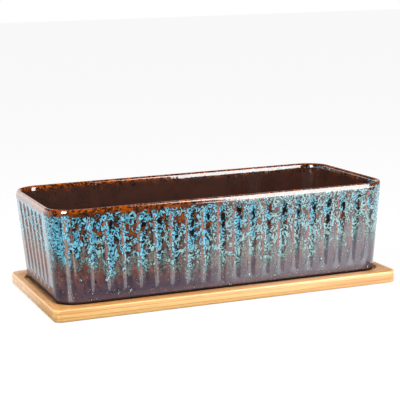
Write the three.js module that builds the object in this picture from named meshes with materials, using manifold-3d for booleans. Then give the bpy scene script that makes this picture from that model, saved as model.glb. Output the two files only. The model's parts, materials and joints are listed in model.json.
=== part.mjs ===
// Rectangular glazed planter standing in the recess of a bamboo tray.
// Millimetres, +Z up, +X along the length, the front faces -Y.
// The origin is under the middle of the tray, on the surface that the tray stands on.
import * as THREE from 'three';
import { mergeVertices } from 'three/addons/utils/BufferGeometryUtils.js';
import Module from 'manifold-3d';

const wasm = await Module();
wasm.setup();

// Pot: overall sizes are taken over the rim, outside the glaze.
const potLength = 305;
const potWidth = 142;
const potHeight = 81;
const wallDraft = 5.2;            // degrees that each wall leans in on its way down
const rimCornerRadius = 24;       // outside corner in plan, at the rim
const footCornerRadius = 18;      // outside corner in plan, at the foot
const wallThickness = 5;
const floorThickness = 6;
const lipRounding = 2.1;          // how far the rim rounds in, on both edges
const lipRollHeight = 5.5;        // height over which the rim's outside rolls over
const footRounding = 3;           // where the wall turns under
const floorFillet = 7;            // inside, where the wall meets the floor

// Flutes: hollows scooped down the walls, with plain bands above and below them.
const longSideFlutes = 20;
const shortSideFlutes = 6;
const longSidePitch = 14.05;      // between flute middles, measured along the rim
const shortSidePitch = 13.75;
const fluteWidth = 8;
const fluteDepth = 1.25;
const rimBand = 6.5;              // plain band from the rim to the flute arches
const footBand = 9;               // plain band from the foot to the flute ends
const fluteRunOut = 25;           // length over which a flute grows shallow towards its foot

// Underside and drainage.
const footRingWidth = 11;
const footRingHeight = 1.5;
const drainHoleDiameter = 12;
const drainHoleSpacing = 150;

// Drain screens: moulded nets that lie loose over the drain holes.
const screenDiameter = 42;
const screenThickness = 1.2;
const screenRimWidth = 2.2;
const screenGap = 4.8;            // clear width of each square opening
const screenBar = 1.4;            // width of the bars between the openings

// Tray: one board with a shallow recess that the pot's foot drops into.
const trayLength = 308;
const trayWidth = 156;
const trayThickness = 10.2;
const trayCornerRadius = 7;
const trayEdgeRounding = 1.3;
const recessDepth = 3.1;
const recessClearance = 3;        // all round, between the pot's foot and the recess
const recessEdgeEasing = 0.7;

// Worked out from the sizes above.
const seatHeight = trayThickness - recessDepth;
const draftSlope = Math.tan(THREE.MathUtils.degToRad(wallDraft));
const outerColumnsPerCorner = 6;
const plainColumnsPerCorner = 7;

// A section through the pot's draft: half sizes and corner radius at a height above its foot.
function potSection(height, inset = 0) {
  const leanIn = (potHeight - height) * draftSlope;
  const climb = height / potHeight;
  const radius = THREE.MathUtils.lerp(footCornerRadius, rimCornerRadius, climb);
  return {
    halfLength: potLength / 2 - leanIn - inset,
    halfWidth: potWidth / 2 - leanIn - inset,
    radius: Math.max(radius - inset, 1),
  };
}

// Distance along a section's outline, from the middle of a side to the middle of its corner.
function halfRun(halfSide, radius) {
  return halfSide - radius + radius * Math.PI / 4;
}

// A point at a distance along one side of a rounded rectangle, with the outward normal there.
// Sides are numbered front, right, back, left and run anticlockwise from above.
function outlinePoint(section, side, distance) {
  const alongLength = side % 2 === 0;
  const halfSide = alongLength ? section.halfLength : section.halfWidth;
  const reach = alongLength ? section.halfWidth : section.halfLength;
  const straight = halfSide - section.radius;
  const past = Math.max(Math.abs(distance) - straight, 0);
  const angle = past / section.radius;
  const sign = Math.sign(distance);
  const along = past > 0 ? sign * (straight + section.radius * Math.sin(angle)) : distance;
  const out = reach - section.radius * (1 - Math.cos(angle));
  const turn = side * Math.PI / 2;
  const point = new THREE.Vector2(along, -out).rotateAround(new THREE.Vector2(), turn);
  const normal = new THREE.Vector2(sign * Math.sin(angle), -Math.cos(angle));
  return { point, normal: normal.rotateAround(new THREE.Vector2(), turn) };
}

// Even steps round the four corners only, for the plain lofts.
function plainColumns() {
  const columns = [];
  for (let side = 0; side < 4; side += 1) {
    for (let step = 0; step < plainColumnsPerCorner; step += 1) {
      columns.push({ side, corner: step / (plainColumnsPerCorner - 1) * 2 - 1 });
    }
  }
  return columns;
}

// One ring of a plain loft: corner -1 and 1 are the ends of the arc that closes each side.
function plainRing(section, z) {
  return plainColumns().map(({ side, corner }) => {
    const halfSide = side % 2 === 0 ? section.halfLength : section.halfWidth;
    const quarter = section.radius * Math.PI / 4;
    const middle = halfRun(halfSide, section.radius);
    const nextHalf = side % 2 === 0 ? section.halfWidth : section.halfLength;
    const { point } = corner <= 0
      ? outlinePoint(section, side, middle + corner * quarter)
      : outlinePoint(section, (side + 1) % 4, -halfRun(nextHalf, section.radius) + corner * quarter);
    return new THREE.Vector3(point.x, point.y, z);
  });
}

// A closed solid through rings of equal length, listed from the bottom to the top.
function loft(rings) {
  const columns = rings[0].length;
  const middle = (ring) => new THREE.Vector3(0, 0, ring[0].z);
  const points = [...rings.flat(), middle(rings[0]), middle(rings[rings.length - 1])];
  const bottom = rings.length * columns;
  const top = bottom + 1;
  const index = [];
  for (let column = 0; column < columns; column += 1) {
    const next = (column + 1) % columns;
    for (let row = 0; row < rings.length - 1; row += 1) {
      const a = row * columns + column;
      const b = row * columns + next;
      index.push(a, b, b + columns, a, b + columns, a + columns);
    }
    const last = (rings.length - 1) * columns;
    index.push(bottom, next, column);
    index.push(top, last + column, last + next);
  }
  const geometry = new THREE.BufferGeometry().setFromPoints(points);
  geometry.setIndex(index);
  return geometry;
}

function toSolid(geometry) {
  const bare = geometry.clone();
  bare.deleteAttribute('normal');
  bare.deleteAttribute('uv');
  const merged = mergeVertices(bare, 1e-4);
  return new wasm.Manifold(new wasm.Mesh({
    numProp: 3,
    vertProperties: new Float32Array(merged.attributes.position.array),
    triVerts: new Uint32Array(merged.index.array),
  }));
}

function toGeometry(solid) {
  const { vertProperties, triVerts } = solid.getMesh();
  const geometry = new THREE.BufferGeometry();
  geometry.setAttribute('position', new THREE.BufferAttribute(new Float32Array(vertProperties), 3));
  geometry.setIndex(new THREE.BufferAttribute(new Uint32Array(triVerts), 1));
  geometry.computeVertexNormals();
  return geometry;
}

// Where the flutes' middles lie along one side, measured at the rim.
function fluteMiddles(side) {
  const alongLength = side % 2 === 0;
  const count = alongLength ? longSideFlutes : shortSideFlutes;
  const pitch = alongLength ? longSidePitch : shortSidePitch;
  return Array.from({ length: count }, (_, i) => (i - (count - 1) / 2) * pitch);
}

// Where the columns of the fluted loft lie along one side: five to a flute, then the corners.
function flutedColumns() {
  const rim = potSection(potHeight);
  const columns = [];
  for (let side = 0; side < 4; side += 1) {
    const alongLength = side % 2 === 0;
    const flutes = fluteMiddles(side);
    const end = halfRun(alongLength ? rim.halfLength : rim.halfWidth, rim.radius);
    const outerEdge = flutes[flutes.length - 1] + fluteWidth / 2;
    const corner = [];
    for (let step = 1; step <= outerColumnsPerCorner / 2; step += 1) {
      corner.push(THREE.MathUtils.lerp(outerEdge, end, step / (outerColumnsPerCorner / 2)));
    }
    const acrossFlute = [-1, -0.55, 0, 0.55, 1];
    const stations = [
      ...corner.map((s) => -s).reverse(),
      ...flutes.flatMap((middle) => acrossFlute.map((share) => middle + share * fluteWidth / 2)),
      ...corner.slice(0, -1),
    ];
    stations.forEach((station) => columns.push({ side, share: station / end, station }));
  }
  return columns;
}

// How deep the nearest flute is scooped at a station along the side and a height above the foot.
function scoop(side, station, height) {
  const across = Math.min(...fluteMiddles(side).map((middle) => Math.abs(station - middle)));
  const half = fluteWidth / 2;
  const archStart = potHeight - rimBand - half;
  const fadeStart = footBand + fluteRunOut;
  const up = Math.max(height - archStart, 0) / half;
  const down = Math.max(fadeStart - height, 0) / fluteRunOut;
  const reach = (across / half) ** 2 + up ** 2;
  return fluteDepth * Math.max(1 - reach, 0) * Math.max(1 - down ** 2, 0);
}

// The outer surface from the foot to the rim, as heights and insets from the drafted wall.
function outerRows() {
  const half = fluteWidth / 2;
  const archStart = potHeight - rimBand - half;
  const fadeStart = footBand + fluteRunOut;
  const foot = [0, 45, 90].map((degrees) => {
    const angle = THREE.MathUtils.degToRad(degrees);
    return [footRounding * (1 - Math.cos(angle)), footRounding * (1 - Math.sin(angle))];
  });
  const wall = [
    footBand, footBand + fluteRunOut * 0.35, fadeStart,
    archStart, archStart + half * 0.5, archStart + half * 0.85, archStart + half,
  ].map((height) => [height, 0]);
  const lip = [0, 30, 55, 75, 90].map((degrees) => {
    const angle = THREE.MathUtils.degToRad(degrees);
    return [potHeight - lipRollHeight * (1 - Math.sin(angle)), lipRounding * (1 - Math.cos(angle))];
  });
  return [...foot, ...wall, ...lip];
}

function potBody() {
  const columns = flutedColumns();
  const rings = outerRows().map(([height, inset]) => {
    const section = potSection(height);
    return columns.map(({ side, share, station }) => {
      const halfSide = side % 2 === 0 ? section.halfLength : section.halfWidth;
      const distance = share * halfRun(halfSide, section.radius);
      const { point, normal } = outlinePoint(section, side, distance);
      point.addScaledVector(normal, -inset - scoop(side, station, height));
      return new THREE.Vector3(point.x, point.y, height);
    });
  });
  return toSolid(loft(rings));
}

// The hollow: a filleted floor, drafted walls and the inner rounding of the rim.
function potHollow() {
  const aboveRim = 2;
  const rows = [0, 30, 60, 90].map((degrees) => {
    const angle = THREE.MathUtils.degToRad(degrees);
    const height = floorThickness + floorFillet * (1 - Math.cos(angle));
    return [height, wallThickness + floorFillet * (1 - Math.sin(angle))];
  });
  for (const degrees of [0, 45, 90]) {
    const angle = THREE.MathUtils.degToRad(degrees);
    const height = potHeight - lipRounding * (1 - Math.sin(angle));
    rows.push([height, wallThickness - lipRounding * (1 - Math.cos(angle))]);
  }
  const rings = rows.map(([height, inset]) => plainRing(potSection(height, inset), height));
  const open = potSection(potHeight, wallThickness - lipRounding);
  return toSolid(loft([...rings, plainRing(open, potHeight + aboveRim)]));
}

// The shallow space inside the foot ring.
function footRecess() {
  const below = 1;
  const section = potSection(0, footRingWidth);
  return toSolid(loft([plainRing(section, -below), plainRing(section, footRingHeight)]));
}

function drainPlug(x) {
  const length = floorThickness * 3;
  const plug = new THREE.CylinderGeometry(drainHoleDiameter / 2, drainHoleDiameter / 2, length, 24);
  plug.rotateX(Math.PI / 2);
  plug.translate(x, 0, floorThickness / 2);
  return toSolid(plug);
}

const drainHoleX = [-drainHoleSpacing / 2, drainHoleSpacing / 2];

function makePot() {
  const cuts = [potHollow(), footRecess(), ...drainHoleX.map(drainPlug)];
  const solid = cuts.reduce((left, cut) => left.subtract(cut), potBody());
  const glaze = new THREE.MeshStandardMaterial({ color: 0x4d474d, roughness: 0.22, metalness: 0 });
  const pot = new THREE.Mesh(toGeometry(solid), glaze);
  pot.name = 'pot';
  return pot;
}

// A round net with square openings wherever a whole one fits inside its rim.
function makeDrainScreen(name) {
  const radius = screenDiameter / 2;
  const disc = new THREE.CylinderGeometry(radius, radius, screenThickness, 36);
  disc.rotateX(Math.PI / 2);
  disc.translate(0, 0, screenThickness / 2);
  let net = toSolid(disc);
  const pitch = screenGap + screenBar;
  const half = screenGap / 2;
  const reach = Math.ceil(radius / pitch);
  for (let column = -reach; column <= reach; column += 1) {
    for (let row = -reach; row <= reach; row += 1) {
      const x = column * pitch;
      const y = row * pitch;
      if (Math.hypot(Math.abs(x) + half, Math.abs(y) + half) < radius - screenRimWidth) {
        const opening = new THREE.BoxGeometry(screenGap, screenGap, screenThickness * 3);
        net = net.subtract(toSolid(opening.translate(x, y, 0)));
      }
    }
  }
  const plastic = new THREE.MeshStandardMaterial({ color: 0x23272a, roughness: 0.6, metalness: 0 });
  const screen = new THREE.Mesh(toGeometry(net), plastic);
  screen.name = name;
  return screen;
}

function makeTray() {
  const board = (inset) => ({
    halfLength: trayLength / 2 - inset,
    halfWidth: trayWidth / 2 - inset,
    radius: trayCornerRadius - inset,
  });
  const rings = [];
  for (const degrees of [0, 45, 90]) {
    const angle = THREE.MathUtils.degToRad(degrees);
    rings.push(plainRing(board(trayEdgeRounding * (1 - Math.sin(angle))), trayEdgeRounding * (1 - Math.cos(angle))));
  }
  for (const degrees of [0, 45, 90]) {
    const angle = THREE.MathUtils.degToRad(degrees);
    const height = trayThickness - trayEdgeRounding * (1 - Math.sin(angle));
    rings.push(plainRing(board(trayEdgeRounding * (1 - Math.cos(angle))), height));
  }
  const above = 1;
  const recess = potSection(0, -recessClearance);
  const eased = potSection(0, -recessClearance - recessEdgeEasing);
  const recessCut = loft([
    plainRing(recess, seatHeight),
    plainRing(recess, trayThickness - recessEdgeEasing),
    plainRing(eased, trayThickness),
    plainRing(eased, trayThickness + above),
  ]);
  const bamboo = new THREE.MeshStandardMaterial({ color: 0xe0b068, roughness: 0.5, metalness: 0 });
  const tray = new THREE.Mesh(toGeometry(toSolid(loft(rings)).subtract(toSolid(recessCut))), bamboo);
  tray.name = 'tray';
  return tray;
}

const planter = new THREE.Group();
planter.add(makeTray());

const potWithScreens = new THREE.Group();
potWithScreens.position.z = seatHeight;
potWithScreens.add(makePot());
['drain_screen_left', 'drain_screen_right'].forEach((name, i) => {
  const screen = makeDrainScreen(name);
  screen.position.set(drainHoleX[i], 0, floorThickness);
  potWithScreens.add(screen);
});
planter.add(potWithScreens);

export default planter;
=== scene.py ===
# %% [markdown]
# # A rectangular glazed planter on a bamboo tray
# The planter is a tapered ceramic trough with fluted walls. It stands in the shallow recess of a
# bamboo tray, and a loose drain screen lies over each of its two drain holes.
# The CAD model gives every size and place. This lesson loads it, remodels each part with more
# detail in the same place, and gives each one its finish.

# %% Load the CAD model
import json
import math
import random

import bmesh
import bpy
import numpy as np
from mathutils import Matrix, Vector

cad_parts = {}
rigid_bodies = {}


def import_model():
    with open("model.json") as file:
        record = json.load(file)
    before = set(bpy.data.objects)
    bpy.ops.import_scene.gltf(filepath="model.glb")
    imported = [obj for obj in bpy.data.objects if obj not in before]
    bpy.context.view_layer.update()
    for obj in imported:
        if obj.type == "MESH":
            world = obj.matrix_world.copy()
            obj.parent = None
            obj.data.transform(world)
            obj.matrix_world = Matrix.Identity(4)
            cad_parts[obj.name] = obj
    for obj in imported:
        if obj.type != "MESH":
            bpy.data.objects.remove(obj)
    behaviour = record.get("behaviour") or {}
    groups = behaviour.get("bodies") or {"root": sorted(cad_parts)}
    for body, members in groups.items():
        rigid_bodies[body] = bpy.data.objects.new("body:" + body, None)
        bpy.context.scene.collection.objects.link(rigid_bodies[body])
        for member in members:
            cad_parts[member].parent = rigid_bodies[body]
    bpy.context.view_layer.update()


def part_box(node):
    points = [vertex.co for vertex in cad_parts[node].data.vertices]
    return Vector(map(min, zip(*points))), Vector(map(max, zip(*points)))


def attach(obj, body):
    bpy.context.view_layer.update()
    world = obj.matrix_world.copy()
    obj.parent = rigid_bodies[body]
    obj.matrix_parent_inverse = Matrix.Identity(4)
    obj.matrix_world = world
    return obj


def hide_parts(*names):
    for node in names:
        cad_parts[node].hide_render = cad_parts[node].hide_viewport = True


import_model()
MM = 0.001

# %% [markdown]
# ## The camera
# The picture is square and taken with a long lens, from a little above and to the left of the
# planter, so the front and the left end show. The camera is placed from its bearing, its pitch and
# its distance to a point on the planter's middle. A slight roll is set too, because the picture
# isn't quite level.

# %% Place the camera
IMAGE_SIDE = 400
FOCAL_PIXELS = 1251.7
SENSOR_WIDTH = 36
CAMERA_TARGET = Vector((1.0, 0, 74.05)) * MM
CAMERA_DISTANCE = 1102.2 * MM
CAMERA_YAW = math.radians(21.0)
CAMERA_PITCH = math.radians(9.92)
CAMERA_ROLL = math.radians(-1.45)

looking = Vector((
    math.sin(CAMERA_YAW) * math.cos(CAMERA_PITCH),
    math.cos(CAMERA_YAW) * math.cos(CAMERA_PITCH),
    -math.sin(CAMERA_PITCH),
))
level_right = Vector((math.cos(CAMERA_YAW), -math.sin(CAMERA_YAW), 0))
level_up = level_right.cross(looking)
right = math.cos(CAMERA_ROLL) * level_right + math.sin(CAMERA_ROLL) * level_up
up = -math.sin(CAMERA_ROLL) * level_right + math.cos(CAMERA_ROLL) * level_up
turn = Matrix((right, up, -looking)).transposed().to_4x4()

camera_data = bpy.data.cameras.new("camera")
camera_data.sensor_width = SENSOR_WIDTH
camera_data.lens = FOCAL_PIXELS / IMAGE_SIDE * SENSOR_WIDTH
camera = bpy.data.objects.new("camera", camera_data)
camera.matrix_world = Matrix.Translation(CAMERA_TARGET - CAMERA_DISTANCE * looking) @ turn
bpy.context.scene.collection.objects.link(camera)
bpy.context.scene.camera = camera
bpy.context.scene.view_settings.view_transform = "Standard"
print("camera lens:", round(camera_data.lens, 1), "mm")

# %% [markdown]
# ## Helpers for modelling
# An operator acts on whatever is selected, so each piece starts with nothing selected. These
# helpers keep the cells below short: one picks an object, one applies a modifier as soon as it is
# added, one smooths the faces that meet at less than an angle, and one writes a number for every
# point of a mesh, which a material can read later.

# %% Helpers for modelling
def deselect_all():
    bpy.ops.object.select_all(action="DESELECT")


def pick(piece):
    deselect_all()
    piece.select_set(True)
    bpy.context.view_layer.objects.active = piece


def apply_modifier(piece, kind, **settings):
    pick(piece)
    modifier = piece.modifiers.new(kind.lower(), kind)
    for name, value in settings.items():
        setattr(modifier, name, value)
    bpy.ops.object.modifier_apply(modifier=modifier.name)


def smooth_below(degrees):
    bpy.ops.object.shade_smooth_by_angle(angle=math.radians(degrees))


def write_attribute(piece, name, values, domain="POINT"):
    values = np.asarray(values, np.float32)
    kind = "FLOAT_VECTOR" if values.ndim == 2 else "FLOAT"
    field = "vector" if values.ndim == 2 else "value"
    attribute = piece.data.attributes.new(name, kind, domain)
    attribute.data.foreach_set(field, values.ravel())


# %% [markdown]
# ## The pot's drawing
# A slip-cast pot is drawn as sections: each level is a rectangle with round corners, and the walls
# lean in on the way down. A flute is a shallow scoop that starts in a round arch under the rim and
# fades out above the foot. These are the sizes of the drawing, in millimetres.

# %% Sizes of the pot
POT_LENGTH = 305
POT_WIDTH = 142
POT_HEIGHT = 81
WALL_SLOPE = math.tan(math.radians(5.2))
RIM_CORNER = 24
FOOT_CORNER = 18
WALL_THICKNESS = 5
FLOOR_THICKNESS = 6
LIP_ROUNDING = 2.1
LIP_ROLL_HEIGHT = 5.5
FOOT_ROUNDING = 3
FLOOR_FILLET = 7
FOOT_RING_WIDTH = 11
FOOT_RING_HEIGHT = 1.5
FOOT_RING_EASING = 0.9
DRAIN_HOLE_RADIUS = 6
DRAIN_HOLE_X = 75
FLUTES = (20, 6, 20, 6)
FLUTE_PITCHES = (14.05, 13.75, 14.05, 13.75)
FLUTE_HALF = 4
FLUTE_DEPTH = 1.25
PLAIN_RIM = 6.5
ARCH_START = POT_HEIGHT - PLAIN_RIM - FLUTE_HALF
FADE_END = 9
FADE_START = 34
SEAT_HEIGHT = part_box("pot")[0].z / MM
print("the pot's foot stands", round(SEAT_HEIGHT, 2), "mm above the ground")


# %% [markdown]
# The outline of a level is walked side by side, from the middle of each side to the middle of its
# corners. Sides are numbered front, right, back and left. The flutes are placed along the rim,
# and each keeps its share of the side on the way down, so they draw together towards the foot.

# %% The outline of one level
def level(height, inset):
    lean = (POT_HEIGHT - height) * WALL_SLOPE
    corner = FOOT_CORNER + (RIM_CORNER - FOOT_CORNER) * height / POT_HEIGHT
    return {
        0: POT_LENGTH / 2 - lean - inset,
        1: POT_WIDTH / 2 - lean - inset,
        "corner": max(corner - inset, 1),
    }


def side_run(section, side):
    corner = section["corner"]
    return section[side % 2] - corner + corner * math.pi / 4


def outline_point(section, side, distance):
    corner = section["corner"]
    straight = section[side % 2] - corner
    angle = max(abs(distance) - straight, 0) / corner
    sign = math.copysign(1, distance)
    along = sign * (straight + corner * math.sin(angle)) if angle else distance
    out = section[(side + 1) % 2] - corner * (1 - math.cos(angle))
    turned = Matrix.Rotation(side * math.pi / 2, 2)
    normal = turned @ Vector((sign * math.sin(angle), -math.cos(angle)))
    return turned @ Vector((along, -out)), normal


rim = level(POT_HEIGHT, 0)
print("the rim's half length and half width:", rim[0], "and", rim[1], "mm")

# %% [markdown]
# A flute needs points close together at its edges and fewer in between. The plain corner only
# needs enough to look round.

# %% Columns round the pot
ACROSS_A_FLUTE = (-6.3, -5.2, -4.5, -4.0, -3.4, -2.4, -0.9, 0.9, 2.4, 3.4, 4.0, 4.5, 5.2, 6.3)
CORNER_STEP = 1.9


def flute_middles(side):
    count = FLUTES[side]
    return [(i - (count - 1) / 2) * FLUTE_PITCHES[side] for i in range(count)]


def side_columns(side):
    middles = flute_middles(side)
    last = middles[-1] + ACROSS_A_FLUTE[-1]
    end = side_run(rim, side)
    steps = math.ceil((end - last) / CORNER_STEP)
    corner = [last + (end - last) * (i + 1) / steps for i in range(steps)]
    fluted = [middle + across for middle in middles for across in ACROSS_A_FLUTE]
    stations = [-s for s in reversed(corner)] + fluted + corner[:-1]
    return [(side, station, station / end) for station in stations]


columns = [column for side in range(4) for column in side_columns(side)]
print("columns round the pot:", len(columns))


# %% [markdown]
# The scoop of a flute is a shallow bowl stretched into a groove. Glaze softens its edges, so the
# bowl meets the wall in a small curve and not in a sharp line.

# %% The scoop of a flute
EDGE_SOFTNESS = 0.07
NO_SCOOP_BELOW = -0.5


def flute_fade(height):
    below = max(FADE_START - height, 0) / (FADE_START - FADE_END)
    return max(1 - below ** 2, 0)


def arch_room(height):
    above = max(height - ARCH_START, 0) / FLUTE_HALF
    return 1 - above ** 2


def scoop(side, station, height):
    across = min(abs(station - middle) for middle in flute_middles(side)) / FLUTE_HALF
    inside = arch_room(height) - across ** 2
    if inside < NO_SCOOP_BELOW:
        return 0
    soft = (inside + math.sqrt(inside ** 2 + EDGE_SOFTNESS ** 2)) / 2
    return soft * flute_fade(height)


half_way_depth = FLUTE_DEPTH * scoop(0, FLUTE_PITCHES[0] / 2, POT_HEIGHT / 2)
print("a flute's depth half way up:", round(half_way_depth, 2), "mm")

# %% [markdown]
# The pot's profile is a list of levels, from the hollow under the floor, round the foot, up the
# wall, over the rolled lip and down inside to the floor. Each has its height above the foot and
# how far it lies inside the leaning wall. The last word names the zone that the level belongs to.
# The helper "arc" gives the angles of a rounding, from one to another in a number of points.

# %% The profile, level by level
UNDER_FLOOR = (1.2, 0.5)
FOOT_LEVELS = (4.2, 5.4, 6.4, 7.4, 8.6, 9.8, 11, 12.4)
WALL_LEVELS = (16, 22, 28, 34, 40, 46, 52, 58, 64, 68)
ARCH_LEVELS = (70.4, 71.2, 72, 72.7, 73.3, 73.8, 74.2, 74.6, 75.1)
INSIDE_LEVELS = (76.5, 73, 68, 60, 50, 40, 30, 20)
FLOOR_LOOP_INSET = 3


def arc(start, stop, count):
    return [math.radians(start + (stop - start) * i / (count - 1)) for i in range(count)]


profile = [(FOOT_RING_HEIGHT, FOOT_RING_WIDTH + further, "under") for further in UNDER_FLOOR]
for a in arc(0, 90, 4):
    rise = FOOT_RING_EASING - FOOT_RING_EASING * math.sin(a)
    profile.append((rise, FOOT_RING_WIDTH - FOOT_RING_EASING * (1 - math.cos(a)), "foot"))
for a in arc(0, 90, 8):
    profile.append((FOOT_ROUNDING * (1 - math.cos(a)), FOOT_ROUNDING * (1 - math.sin(a)), "wall"))
profile += [(height, 0, "wall") for height in FOOT_LEVELS + WALL_LEVELS + ARCH_LEVELS]
for a in arc(0, 90, 11):
    rise = POT_HEIGHT - LIP_ROLL_HEIGHT * (1 - math.sin(a))
    profile.append((rise, LIP_ROUNDING * (1 - math.cos(a)), "lip"))
for a in arc(80, 0, 8):
    rise = POT_HEIGHT - LIP_ROUNDING * (1 - math.sin(a))
    profile.append((rise, WALL_THICKNESS - LIP_ROUNDING * (1 - math.cos(a)), "lip"))
profile += [(height, WALL_THICKNESS, "inside") for height in INSIDE_LEVELS]
for a in arc(0, 90, 9):
    rise = FLOOR_THICKNESS + FLOOR_FILLET * (1 - math.sin(a))
    profile.append((rise, WALL_THICKNESS + FLOOR_FILLET * (1 - math.cos(a)), "inside"))
profile.append((FLOOR_THICKNESS, WALL_THICKNESS + FLOOR_FILLET + FLOOR_LOOP_INSET, "inside"))
print("levels in the profile:", len(profile))


# %% [markdown]
# ## The pot
# A potter would cast this in a plaster mould. Here it is lofted: one ring of points is extruded
# and laid on the next level of the profile, again and again. That keeps every flute's points in
# straight columns, which a carved block wouldn't, and the glaze can follow them.

# %% Loft the pot
def level_points(row):
    height, inset, zone = profile[row]
    section = level(height, inset)
    points = []
    for side, station, share in columns:
        place, normal = outline_point(section, side, share * side_run(section, side))
        depth = FLUTE_DEPTH * scoop(side, station, height) if zone == "wall" else 0
        place = place - normal * depth
        points.append(Vector((place.x, place.y, height + SEAT_HEIGHT)) * MM)
    return points


deselect_all()
bpy.ops.mesh.primitive_circle_add(vertices=len(columns), radius=POT_LENGTH / 2 * MM)
pot = bpy.context.active_object
pot.name = "glazed_pot"
for name in ("column", "row"):
    pot.data.attributes.new(name, "INT", "POINT")
pot.data.attributes["column"].data.foreach_set("value", np.arange(len(columns), dtype=np.int32))

bpy.ops.object.mode_set(mode="EDIT")
bpy.ops.mesh.select_all(action="SELECT")
for row in range(len(profile)):
    if row:
        bpy.ops.mesh.extrude_region_move()
    shape = bmesh.from_edit_mesh(pot.data)
    column_of = shape.verts.layers.int["column"]
    row_of = shape.verts.layers.int["row"]
    points = level_points(row)
    for vertex in shape.verts:
        if vertex.select:
            vertex.co = points[vertex[column_of]]
            vertex[row_of] = row
bmesh.update_edit_mesh(pot.data)
bpy.ops.mesh.edge_face_add()
print("pot after lofting:", len(bmesh.from_edit_mesh(pot.data).verts), "points")

# %% [markdown]
# The loft is still open under the floor, where it began. That ring is selected by its row, and
# closed with one face.

# %% Close the pot underneath
bpy.ops.mesh.select_all(action="DESELECT")
shape = bmesh.from_edit_mesh(pot.data)
row_of = shape.verts.layers.int["row"]
for vertex in shape.verts:
    vertex.select = vertex[row_of] == 0
shape.select_flush(True)
bpy.ops.mesh.edge_face_add()
bpy.ops.mesh.select_all(action="SELECT")
bpy.ops.mesh.normals_make_consistent(inside=False)
bpy.ops.object.mode_set(mode="OBJECT")
print("pot faces:", len(pot.data.polygons))

# %% [markdown]
# Two drain holes go through the floor. They are drilled with a Boolean modifier, and the rims of
# the holes get a small rounding, as glaze leaves them.

# %% Drill the drain holes
HOLE_ROUNDING = 0.7
DRILL_SIDES = 48
DRILL_LENGTH = 30
MISS = 0.05
drills = []
for x in (-DRAIN_HOLE_X, DRAIN_HOLE_X):
    deselect_all()
    bpy.ops.mesh.primitive_cylinder_add(
        vertices=DRILL_SIDES, radius=DRAIN_HOLE_RADIUS * MM, depth=DRILL_LENGTH * MM,
        location=(x * MM, 0, SEAT_HEIGHT * MM),
    )
    drills.append(bpy.context.active_object)
drills[0].select_set(True)
bpy.ops.object.join()
drill = bpy.context.active_object
apply_modifier(pot, "BOOLEAN", operation="DIFFERENCE", object=drill, solver="EXACT")
bpy.data.objects.remove(drill)


def hole_distance(point):
    return math.hypot(abs(point.x) / MM - DRAIN_HOLE_X, point.y / MM)


def is_hole_rim(edge):
    a, b = (vertex.co for vertex in edge.verts)
    away = max(hole_distance(a), hole_distance(b))
    return abs(a.z - b.z) < MISS * MM and away < DRAIN_HOLE_RADIUS + MISS


pick(pot)
bpy.ops.object.mode_set(mode="EDIT")
bpy.ops.mesh.select_mode(type="EDGE")
bpy.ops.mesh.select_all(action="DESELECT")
shape = bmesh.from_edit_mesh(pot.data)
rim_edges = [edge for edge in shape.edges if is_hole_rim(edge)]
for edge in rim_edges:
    edge.select_set(True)
bmesh.update_edit_mesh(pot.data)
print("edges round the holes:", len(rim_edges))
bpy.ops.mesh.bevel(offset=HOLE_ROUNDING * MM, segments=3)
bpy.ops.object.mode_set(mode="OBJECT")
smooth_below(40)
print("pot faces with the holes:", len(pot.data.polygons))

# %% [markdown]
# ## Facts for the glaze
# Glaze behaves by place: it pools in the hollows, runs down in them, and pulls thin on edges. So
# each point of the pot gets a few facts as attributes, and the glaze reads them later. Chance comes
# first: how far the turquoise runs down in each flute, and where its dark pools lie. On the short
# ends all runs stop high, as they do next to a corner. A flute without a second pool has it at
# height zero, where no flute is left to hold one. The random numbers have a seed, so every run of
# this lesson draws the same pot. Sizes are in millimetres.

# %% Chances of each flute
RUN_SEED = 11
MIDDLE_RUN_END = 27
CORNER_RUN_END = 43
TOWARDS_CORNER = 6
RUN_SPREAD = 6
FIRST_POOL = (62, 68)
SECOND_POOL = (53, 58)
SECOND_POOL_CHANCE = 0.5


def flute_chances():
    chance = random.Random(RUN_SEED)
    ends = {}
    pools = {}
    for side in range(4):
        middles = flute_middles(side)
        for number, middle in enumerate(middles):
            outward = abs(middle) / middles[-1]
            base = MIDDLE_RUN_END + (CORNER_RUN_END - MIDDLE_RUN_END) * outward ** TOWARDS_CORNER
            if side % 2:
                base = CORNER_RUN_END
            ends[side, number] = base + chance.uniform(-RUN_SPREAD, RUN_SPREAD)
            second = chance.uniform(*SECOND_POOL) if chance.random() < SECOND_POOL_CHANCE else 0
            pools[side, number] = (chance.uniform(*FIRST_POOL), second)
    return ends, pools


flute_run_end, flute_pools = flute_chances()
print("lowest and highest end of a run:", round(min(flute_run_end.values()), 1),
      "and", round(max(flute_run_end.values()), 1), "mm above the foot")

# %% [markdown]
# The facts of a column hold all the way up the wall. Its place on the rim gives the patterns a ground
# that leans with the wall, so they run straight down every flute. The edges say how near the column is to
# the two edges of its flute: the right one, where glaze is thin and rust shows, and the left one, where a
# rust-tinted highlight is painted. The plain corner counts as one wide hollow, and one thin streak of
# rust runs down beside the near corner.

# %% Facts of a column
LAND_RISE = 7
LAND_RISE_LIMIT = 1.6
LAND_WIDTH = 2.5
LEFT_HIGHLIGHT_EDGE = (-0.68, 0.26)
RIGHT_EDGE = (1.35, 0.28)
CORNER_BLEND = 3
CORNER_DROP = 12
STREAK = (-142, 1.3)


def hump(value, middle, width):
    return math.exp(-((value - middle) / width) ** 2)


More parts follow.
